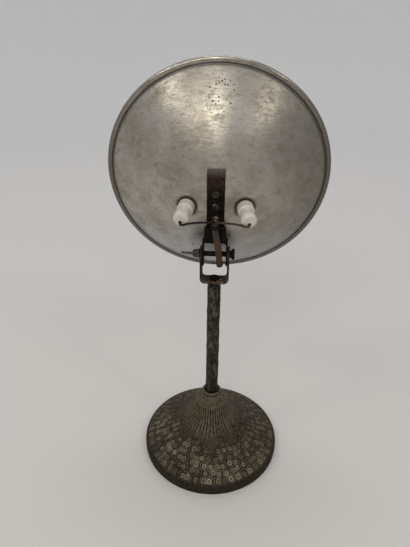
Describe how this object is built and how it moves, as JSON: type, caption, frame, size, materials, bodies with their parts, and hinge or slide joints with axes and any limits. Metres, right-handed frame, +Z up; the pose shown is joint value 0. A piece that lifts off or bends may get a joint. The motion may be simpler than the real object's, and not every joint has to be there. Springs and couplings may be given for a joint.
{
  "type": "electric bowl heater",
  "caption": "Electric radiant heater: a round metal bowl with a bar element and wire guard, tilting in a clamped yoke on a stem and round cast foot.",
  "frame": {"origin": "centre of the foot's underside, on the surface the heater stands on", "axes": "+Z up along the stem; +Y towards the side that is heated, out of the bowl's mouth; +X along the pivot bolt, to the right as seen from the terminal side"},
  "size_m": [0.25, 0.18, 0.4852],
  "materials": {
    "foot_iron": "hammered dark brown-black japanned iron, dull",
    "stem_iron": "hammered, worn dark brown",
    "bracket_iron": "worn blackened strip iron with rust",
    "rusty_steel": "dull, rusty",
    "hardware_steel": "dull zinc",
    "spun_aluminium": "spun, dulled and pitted",
    "porcelain": "glossy white",
    "mica_board": "matte dark board",
    "terminal_brass": "dull",
    "fireclay": "matte off-white",
    "resistance_wire": "dull, oxidised",
    "guard_wire": "dull plated wire",
    "lead_black": "matte black",
    "lead_brown": "matte red-brown",
    "cord_rubber": "perished brown jacket over a grey-black wrap"
  },
  "bodies": {
    "stand": {"foot": "foot_iron", "foot_washer": "hardware_steel", "foot_nut": "hardware_steel", "stem": "stem_iron", "yoke": "bracket_iron", "yoke_screw": "rusty_steel", "pivot_bolt": "rusty_steel", "head_spacer": "rusty_steel", "nut_washer": "rusty_steel"},
    "wing": {"wing_nut": "rusty_steel"},
    "head": {"clevis": "bracket_iron", "clevis_rivets": "rusty_steel", "strap": "bracket_iron", "strap_screws": "rusty_steel", "strap_nuts": "hardware_steel", "backing_plate": "hardware_steel", "bowl": "spun_aluminium", "rim_wire": "hardware_steel", "insulator_left": "porcelain", "insulator_right": "porcelain", "insulator_washers": "mica_board", "inner_bushes": "porcelain", "post_left": "terminal_brass", "post_right": "terminal_brass", "post_nuts": "terminal_brass", "spring_clips": "terminal_brass", "element_bar": "fireclay", "bar_sleeves": "hardware_steel", "heating_coil": "resistance_wire", "guard_ring": "guard_wire", "guard_ribs": "guard_wire", "guard_hoop": "guard_wire", "guard_eye": "guard_wire", "cord_clip": "rusty_steel", "clip_screw": "rusty_steel", "lead_left": "lead_black", "lead_right": "lead_brown", "cord_stub": "cord_rubber"}
  },
  "joints": [
    {"name": "reflector_tilt", "type": "hinge", "parent": "stand", "child": "head", "pos_m": [0, 0, 0.2875], "axis": [1, 0, 0], "range_deg": [-47, 60]},
    {"name": "wing_nut_turn", "type": "hinge", "parent": "stand", "child": "wing", "pos_m": [-0.0176, 0, 0.2875], "axis": [-1, 0, 0], "range_deg": [0, 360]}
  ]
}
